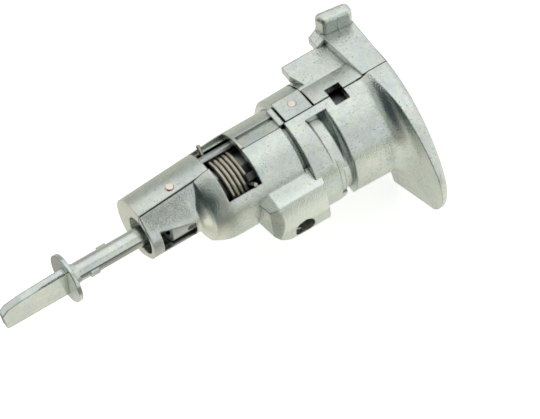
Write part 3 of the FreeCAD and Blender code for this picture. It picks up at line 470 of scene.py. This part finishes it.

# %% [markdown]
# Some marks belong to one place: the dark joint between two castings, a painted highlight on one face, or
# painted shade on another. Such a place is told by pairs of planes in the lock's frame, as a direction and
# the lowest and highest value along it. Its borders are blurred, and a coarse noise breaks it up, because
# real stains and reflections aren't even.

# %% Marks that belong to one place
Mark = namedtuple("Mark", "planes blur_mm colour share broken")
ALONG_X = (1.0, 0.0, 0.0)
ALONG_Y = (0.0, 1.0, 0.0)
ALONG_Z = (0.0, 0.0, 1.0)
FAR_MM = 20.0
BREAK_MM = 0.32
BREAK_SEED = 12.0
BREAK_STARTS = 0.40
BREAK_FULL = 0.60


def inside_planes(tree, place, planes, blur_mm):
    """1 between all the pairs of planes and 0 outside, with blurred borders."""
    inside = None
    for direction, low_mm, high_mm in planes:
        along = measured(tree, "DOT_PRODUCT", place, direction)
        for side_mm, before, after in ((low_mm, 0.0, 1.0), (high_mm, 1.0, 0.0)):
            start = (side_mm - blur_mm) * MM
            end = (side_mm + blur_mm) * MM
            border = soft_step(tree, along, start, end, before, after)
            inside = border if inside is None else counted(tree, "MULTIPLY", inside, border)
    return inside


def marked(tree, place, colour, marks):
    """The colour with each mark laid over it in turn."""
    for mark in marks:
        inside = inside_planes(tree, place, mark.planes, mark.blur_mm)
        cloud = noise_of(tree, place, 1.0 / (BREAK_MM * MM), BREAK_SEED, detail=2.0)
        least = mark.share * (1.0 - mark.broken)
        grit = soft_step(tree, cloud, BREAK_STARTS, BREAK_FULL, least, mark.share)
        laid_on = counted(tree, "MULTIPLY", inside, grit)
        colour = mixed(tree, laid_on, colour, (*mark.colour, 1.0))
    return colour


print("marks are broken up every %.2f mm" % BREAK_MM)

# %% [markdown]
# Satin metal isn't equally smooth everywhere: some patches were rubbed brighter. Its face also has a long,
# low wave from the die and a fine grain on top. Both are bumps, laid one after the other on the rounded
# direction of the corners, and far too shallow to need geometry.

# %% Satin and grain
SATIN_PER_METRE = 160.0
SATIN_SEED = 1.5
SATIN_STARTS = 0.3
SATIN_FULL = 0.7
SMOOTHER = 0.05
ROUGHER = 0.07
WAVES_PER_METRE = 260.0
WAVE_SEED = 6.0
GRAIN_SEED = 2.0


def satin(tree, place, roughness):
    """Roughness in patches, from a little smoother to a little rougher."""
    patches = noise_of(tree, place, SATIN_PER_METRE, SATIN_SEED, detail=4.0)
    return soft_step(tree, patches, SATIN_STARTS, SATIN_FULL, roughness - SMOOTHER, roughness + ROUGHER)


def bumped(tree, height, depth_mm, direction):
    """The surface's direction, tilted by a height that is at most so many millimetres."""
    bump = add_node(tree, "ShaderNodeBump")
    bump.inputs["Distance"].default_value = depth_mm * MM
    tree.links.new(height, bump.inputs["Height"])
    tree.links.new(direction, bump.inputs["Normal"])
    return bump.outputs[0]


def wave_and_grain(tree, place, rounded, look):
    """The die's long wave with the fine grain on it."""
    wave = noise_of(tree, place, WAVES_PER_METRE, WAVE_SEED, detail=2.0)
    grain = noise_of(tree, place, 1.0 / (look["grain_mm"] * MM), GRAIN_SEED, detail=2.0)
    waved = bumped(tree, wave, look["wave_depth"], rounded)
    return bumped(tree, grain, look["grain_depth"], waved)


print("wave length about %.1f mm" % (1.0 / (WAVES_PER_METRE * MM)))

# %% [markdown]
# One builder puts these layers together for every metal of the lock, and each metal changes only what is its
# own. The layers go on in this order: tints of the plating, painted lines along the corners, painted shade
# in the hollows, specks, then marks.

# %% The builder
PLAIN_METAL = {
    "roughness": 0.36,
    "grain_mm": 0.3,
    "grain_depth": 0.006,
    "wave_depth": 0.02,
    "edge_mm": 0.25,
    "edge_share": 0.25,
    # pale line along the corners, a painted highlight
    "edge_colour": (0.8, 0.83, 0.8),
    "hollow_mm": 1.2,
    "hollow": (0.3, 0.34, 0.36),
    "hollow_share": 0.7,
    "speck_share": 0.35,
}


def make_metal(name, body, tints=(), marks=(), **own):
    """A satin metal with drifting tints, painted edge lines, painted shade in hollows, specks, marks and
    grain.
    """
    look = {**PLAIN_METAL, **own}
    material = bpy.data.materials.new(name)
    material.use_nodes = True
    tree = material.node_tree
    surface = tree.nodes["Principled BSDF"]
    surface.inputs["Metallic"].default_value = 1.0
    place = add_node(tree, "ShaderNodeTexCoord").outputs["Object"]
    rounded = rounded_direction(tree, look["edge_mm"])
    colour = drifting_tints(tree, place, (*body, 1.0), tints)
    colour = painted_edge_lines(tree, colour, rounded, look["edge_colour"], look["edge_share"])
    colour = dark_hollows(tree, colour, look["hollow_mm"], look["hollow"], look["hollow_share"])
    colour = specks(tree, place, colour, look["speck_share"])
    colour = marked(tree, place, colour, marks)
    tree.links.new(colour, surface.inputs["Base Color"])
    tree.links.new(satin(tree, place, look["roughness"]), surface.inputs["Roughness"])
    tree.links.new(wave_and_grain(tree, place, rounded, look), surface.inputs["Normal"])
    return material


print("a plain metal has", len(PLAIN_METAL), "values of its own")

# %% [markdown]
# The three castings meet in a joint on top, a dark line from the flange to the tail that is widest at the
# flange. The model's own gap is too narrow to draw so dark a line, so a mark follows it. In the recess
# behind the front barrel the wall lies in shade, and the shade tapers downwards.

# %% Marks on the joint and in the recess
JOINT = Mark(((ALONG_X, -0.16, 0.16), (ALONG_Y, 1.2, 73.0), (ALONG_Z, 4.0, FAR_MM)),
             blur_mm=0.10, colour=(0.04, 0.045, 0.04), share=0.85, broken=0.3)
FLANGE_JOINT = Mark(((ALONG_X, -0.30, 0.30), (ALONG_Y, 0.5, 9.4), (ALONG_Z, 4.0, FAR_MM)),
                    blur_mm=0.10, colour=(0.035, 0.04, 0.035), share=0.85, broken=0.3)
RECESS_WALL = Mark(((ALONG_X, -16.0, -2.4), (ALONG_Y, 20.1, 24.0), ((0.0, 1.0, -0.12), 10.0, 21.0)),
                   blur_mm=0.25, colour=(0.06, 0.085, 0.085), share=0.85, broken=0.2)
print("joint %.2f mm wide, %.2f mm at the flange" % (2 * JOINT.planes[0][2], 2 * FLANGE_JOINT.planes[0][2]))

# %% [markdown]
# The lug at the arm's end has a fine parting line across its inner face. That face is painted a cool,
# purplish grey as shade from the arm beside it, and the lug's back a plain grey as painted shade, so both
# come out duller than the rest.

# %% Marks on the lug
# painted shade on the lug's inner face, from the arm beside it
LUG_FACE_SHADE = Mark(((ALONG_X, 13.0, 15.3), (ALONG_Y, 1.2, 8.3), (ALONG_Z, 14.2, 18.2)),
                blur_mm=0.30, colour=(0.40, 0.40, 0.47), share=0.45, broken=0.3)
LUG_LINE = Mark(((ALONG_X, 13.0, 15.2), (ALONG_Y, 4.9, 5.1), (ALONG_Z, 13.0, 18.0)),
                blur_mm=0.10, colour=(0.08, 0.09, 0.09), share=0.6, broken=0.3)
# painted shade on the lug's back
LUG_BACK_SHADE = Mark(((ALONG_X, 13.0, 20.0), (ALONG_Y, 8.9, 11.0), (ALONG_Z, 13.5, 18.6)),
                blur_mm=0.30, colour=(0.44, 0.46, 0.42), share=0.60, broken=0.3)
print("lug's line %.1f mm wide" % (LUG_LINE.planes[1][2] - LUG_LINE.planes[1][1]))

# %% [markdown]
# The boss's flank gets a painted highlight. The foot of the shoulder and the tail's end face get a warm
# painted reflection of the table, brighter at the foot. The cover's flank gets painted shade. The cut-down
# neck has a pocket with a coarse, grey, pitted floor.

# %% Marks on the body and the tail
# painted highlight on the boss's flank
BOSS_FLANK_HIGHLIGHT = Mark(((ALONG_X, -18.5, -13.2), (ALONG_Y, 29.0, 43.0), (ALONG_Z, -3.8, 4.2)),
                  blur_mm=0.80, colour=(0.76, 0.82, 0.77), share=0.70, broken=0.3)
# warm painted reflection of the table at the shoulder's foot
SHOULDER_FOOT_REFLECTION = Mark(((ALONG_X, -12.5, -4.5), (ALONG_Y, 54.5, 61.5), (ALONG_Z, -12.0, 3.0)),
                     blur_mm=1.20, colour=(0.86, 0.86, 0.76), share=0.80, broken=0.3)
# warm painted reflection of the table on the tail's end face
TAIL_FACE_REFLECTION = Mark(((ALONG_X, -9.0, 12.0), (ALONG_Y, 72.6, 73.5), (ALONG_Z, -9.0, 9.0)),
                 blur_mm=0.15, colour=(0.78, 0.78, 0.68), share=0.70, broken=0.3)
# painted shade on the cover's flank
COVER_FLANK_SHADE = Mark(((ALONG_X, 6.0, 13.0), (ALONG_Y, 33.0, 72.0), (ALONG_Z, -6.0, 8.0)),
                   blur_mm=1.00, colour=(0.44, 0.48, 0.40), share=0.50, broken=0.3)
NECK_POCKET = Mark(((ALONG_X, -FAR_MM, -0.6), (ALONG_Y, 60.8, 71.6), ((0.0, -0.13, 1.0), -4.0, FAR_MM)),
                   blur_mm=0.70, colour=(0.17, 0.18, 0.18), share=0.55, broken=0.75)
print("pocket from y %.1f to %.1f mm" % NECK_POCKET.planes[1][1:])

# %% [markdown]
# Zinc castings with bright plating are pale grey with a breath of blue, green and pink, satin rather than
# mirror. A fully metallic shader with a mid-grey body gives that, because the tent does the brightening.

# %% Bright zinc of the castings
PALE_TINTS = (((0.50, 0.60, 0.62), 0.55), ((0.66, 0.60, 0.64), 0.40), ((0.66, 0.70, 0.62), 0.50),
              ((0.44, 0.49, 0.49), 0.35), ((0.62, 0.66, 0.56), 0.50), ((0.46, 0.50, 0.50), 0.30))
# dark grey line along the corners of the castings and the rod, a painted dark reflection
EDGE_REFLECTION_GREY = (0.22, 0.26, 0.25)
CASTING_MARKS = (NECK_POCKET, JOINT, RECESS_WALL, FLANGE_JOINT, BOSS_FLANK_HIGHLIGHT, SHOULDER_FOOT_REFLECTION, TAIL_FACE_REFLECTION,
                 LUG_BACK_SHADE, COVER_FLANK_SHADE, LUG_FACE_SHADE, LUG_LINE)
bright_zinc = make_metal("bright_zinc", (0.60, 0.66, 0.61), PALE_TINTS, CASTING_MARKS, roughness=0.24,
                         grain_mm=0.4, grain_depth=0.07, wave_depth=0.05, edge_mm=0.55, edge_share=0.55,
                         edge_colour=EDGE_REFLECTION_GREY, hollow=(0.06, 0.07, 0.06), hollow_share=0.85,
                         speck_share=0.50)
print(bright_zinc.name, "with", len(PALE_TINTS), "tints and", len(CASTING_MARKS), "marks")

# %% [markdown]
# The tail rod is cast in the same zinc but rubbed smoother. The two halves of its die left a dark parting
# line along the shank, and the blade's corner carries a broken dark line.

# %% Smoother zinc of the rod
ROD_LINE = Mark(((ALONG_X, -FAR_MM, 0.0), (ALONG_Y, 74.0, 91.5), (ALONG_Z, 1.0, 1.3)),
                blur_mm=0.10, colour=(0.08, 0.09, 0.08), share=0.9, broken=0.3)
BLADE_CORNER = Mark(((ALONG_X, -1.4, -0.55), (ALONG_Y, 95.0, 107.5), (ALONG_Z, 3.3, 4.2)),
                    blur_mm=0.12, colour=(0.03, 0.035, 0.035), share=1.0, broken=0.6)
bright_rod = make_metal("bright_rod", (0.57, 0.61, 0.56), PALE_TINTS[:4], (ROD_LINE, BLADE_CORNER),
                        roughness=0.17, grain_mm=0.4, grain_depth=0.02, wave_depth=0.06, edge_mm=0.5,
                        edge_share=0.5, edge_colour=EDGE_REFLECTION_GREY, hollow_mm=2.5, hollow=(0.06, 0.10, 0.09),
                        hollow_share=0.8)
print(bright_rod.name, "with a line %.1f mm wide" % (ROD_LINE.planes[2][2] - ROD_LINE.planes[2][1]))

# %% [markdown]
# The plug and the driver are plain zinc. Deep in the window the driver's disc lies in the dark, which a
# wide hollow and one black mark on the wing's side give it.

# %% Plain zinc inside
IN_THE_DARK = (0.03, 0.03, 0.03)
DRIVER_SHADE = Mark(((ALONG_X, -FAR_MM, -1.0), (ALONG_Y, 40.0, 53.0)),
                    blur_mm=0.5, colour=IN_THE_DARK, share=0.9, broken=0.0)
plug_zinc = make_metal("plug_zinc", (0.66, 0.67, 0.66), PALE_TINTS[:1], roughness=0.34)
driver_zinc = make_metal("driver_zinc", (0.58, 0.60, 0.59), PALE_TINTS[:1], (DRIVER_SHADE,),
                         hollow_mm=3.0, hollow=IN_THE_DARK, hollow_share=0.95)
print(plug_zinc.name, driver_zinc.name)

# %% [markdown]
# Steel comes in three kinds here: the satin pressed cap and shutter, the dull liner and cross pin, which
# hardly show, and the spring wire, which is warm grey from oil and tempering. The liner and pin are nearly
# black, which is painted shade for the dark cavity that the sight hole looks into. Only colour, gloss and
# grain tell them apart, so the builder's plain values do for the rest.

# %% Steels
cap_steel = make_metal("cap_steel", (0.68, 0.69, 0.70), roughness=0.25, grain_depth=0.002)
# near-black body and deep hollows: painted shade for the cavity behind the sight hole
shaded_liner_steel = make_metal("shaded_liner_steel", (0.16, 0.16, 0.16), roughness=0.45, hollow_mm=3.0,
                         hollow=(0.02, 0.02, 0.02), hollow_share=0.95)
spring_steel = make_metal("spring_steel", (0.50, 0.47, 0.39), roughness=0.42, grain_mm=0.2,
                          grain_depth=0.004, hollow_mm=0.5, hollow=(0.05, 0.05, 0.05), hollow_share=0.5)
print(cap_steel.name, shaded_liner_steel.name, spring_steel.name)

# %% [markdown]
# The pin ends show a pale copper tone, and the wafers inside the plug are stamped brass. The screw thread is
# painted warmer and brighter than the plated boss, a painted highlight that makes it show lit in the shaded
# bore, and it gets no painted shade or edge line of its own.

# %% Copper, brass and the lit thread
copper_pin = make_metal("copper_pin", (0.76, 0.66, 0.58), roughness=0.3, grain_depth=0.004)
wafer_brass = make_metal("wafer_brass", (0.75, 0.62, 0.34), roughness=0.3, grain_depth=0.004)
# brighter than the boss: a painted highlight in the bore
lit_thread = make_metal("lit_thread", (0.74, 0.70, 0.64), roughness=0.3, hollow_share=0.0, edge_share=0.0)
print(copper_pin.name, wafer_brass.name, lit_thread.name)

# %% [markdown]
# The record names a material slot for each piece, and each slot has one finish. It goes on the piece's mesh
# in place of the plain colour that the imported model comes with. Only the tail rod leaves its slot's finish
# for its own, smoother one.

# %% Each piece gets its finish
FINISH_OF_SLOT = {
    "zinc_casting": bright_zinc,
    "plug_zinc": plug_zinc,
    "driver_zinc": driver_zinc,
    "cap_steel": cap_steel,
    "plain_steel": shaded_liner_steel,
    "spring_steel": spring_steel,
    "copper_pin": copper_pin,
    "wafer_brass": wafer_brass,
}
FINISH_OF_PIECE = {"tail_rod": bright_rod}
for part in record["subparts"]:
    finish = FINISH_OF_PIECE.get(part["node"], FINISH_OF_SLOT[part["material_slot"]])
    mesh = nodes[part["node"]].data
    mesh.materials.clear()
    mesh.materials.append(finish)
print("finished", len(record["subparts"]), "pieces, tail rod in", nodes["tail_rod"].data.materials[0].name)

# %% [markdown]
# The drawing leaves the screw hole in the boss as a plain bore, which a screw's size can be checked
# against. The real one has a coarse metric thread. It is a small triangle that a screw modifier winds round
# the bore, just proud of the wall, because a bump would look flat in so wide a hole.

# %% Size and place of the thread
screw_hole = next(mount for mount in record["mounts"] if mount["name"] == "fixing_screw_hole")
BORE_MOUTH = Vector(screw_hole["pos_m"])
BORE_R = screw_hole["dims"]["r_mm"] * MM
THREAD_PITCH = 1.0 * MM
THREAD_TURNS = 6
THREAD_RIDGE = 0.36 * MM
THREAD_STEPS = 40
MOUTH_SLANT = 1.2 * MM
QUARTER = math.pi / 2
print("bore radius %.2f mm, thread %.0f mm deep" % (BORE_R / MM, THREAD_TURNS * THREAD_PITCH / MM))

# %% [markdown]
# One ridge of the thread is a triangle that stands on the bore's wall. A circle with three corners is the
# quickest way to draw it. In edit mode it is stood upright and moved out to the wall, so that its place is
# in the mesh and the origin stays on the axis that it is wound round.

# %% Ridge of the thread
def draw_ridge():
    """The triangle that the thread is wound from, standing at the bore's radius."""
    bpy.ops.object.select_all(action="DESELECT")
    bpy.ops.mesh.primitive_circle_add(vertices=3, radius=THREAD_RIDGE, fill_type="NOTHING")
    ridge = bpy.context.object
    ridge.name = "boss_thread"
    bpy.ops.object.mode_set(mode="EDIT")
    bpy.ops.mesh.select_all(action="SELECT")
    bpy.ops.transform.rotate(value=QUARTER, orient_axis="X", center_override=(0, 0, 0))
    bpy.ops.transform.rotate(value=-QUARTER, orient_axis="Y", center_override=(0, 0, 0))
    bpy.ops.transform.translate(value=(BORE_R, 0, 0))
    bpy.ops.object.mode_set(mode="OBJECT")
    return ridge


thread = draw_ridge()
print("ridge with", len(thread.data.vertices), "corners")

# %% [markdown]
# A screw modifier turns the ridge round Z and lifts it by one pitch a turn, as a tap does. Spin could do
# that too, but the modifier keeps turns and steps as two plain numbers. Both ends come out open, so they
# are filled, and all faces are turned outwards.

# %% Wound thread
def wind(ridge):
    """Winds the ridge round its own Z axis, one pitch a turn."""
    screw = ridge.modifiers.new("winding", "SCREW")
    screw.axis = "Z"
    screw.steps = THREAD_STEPS
    screw.render_steps = THREAD_STEPS
    screw.screw_offset = THREAD_PITCH
    screw.iterations = THREAD_TURNS
    bpy.ops.object.modifier_apply(modifier="winding")


def close_ends():
    """Fills both ends of the active piece and turns its faces outwards."""
    bpy.ops.object.mode_set(mode="EDIT")
    bpy.ops.mesh.select_all(action="SELECT")
    bpy.ops.mesh.fill_holes(sides=3)
    bpy.ops.mesh.select_all(action="SELECT")
    bpy.ops.mesh.normals_make_consistent(inside=False)
    bpy.ops.object.mode_set(mode="OBJECT")


wind(thread)
close_ends()
print("thread faces", len(thread.data.polygons))

# %% [markdown]
# The thread is laid along X into the bore. It starts a little inside, because the boss's face slants there.
# Its place goes into the mesh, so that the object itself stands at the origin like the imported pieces.

# %% Thread in the boss
thread.rotation_euler = (0, QUARTER, 0)
thread.location = BORE_MOUTH + Vector((MOUTH_SLANT, 0, 0))
bpy.ops.object.transform_apply(location=True, rotation=True, scale=True)
thread.data.materials.append(lit_thread)
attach(thread, "housing")
print("thread in mm", [round(side / MM, 2) for side in thread.dimensions])
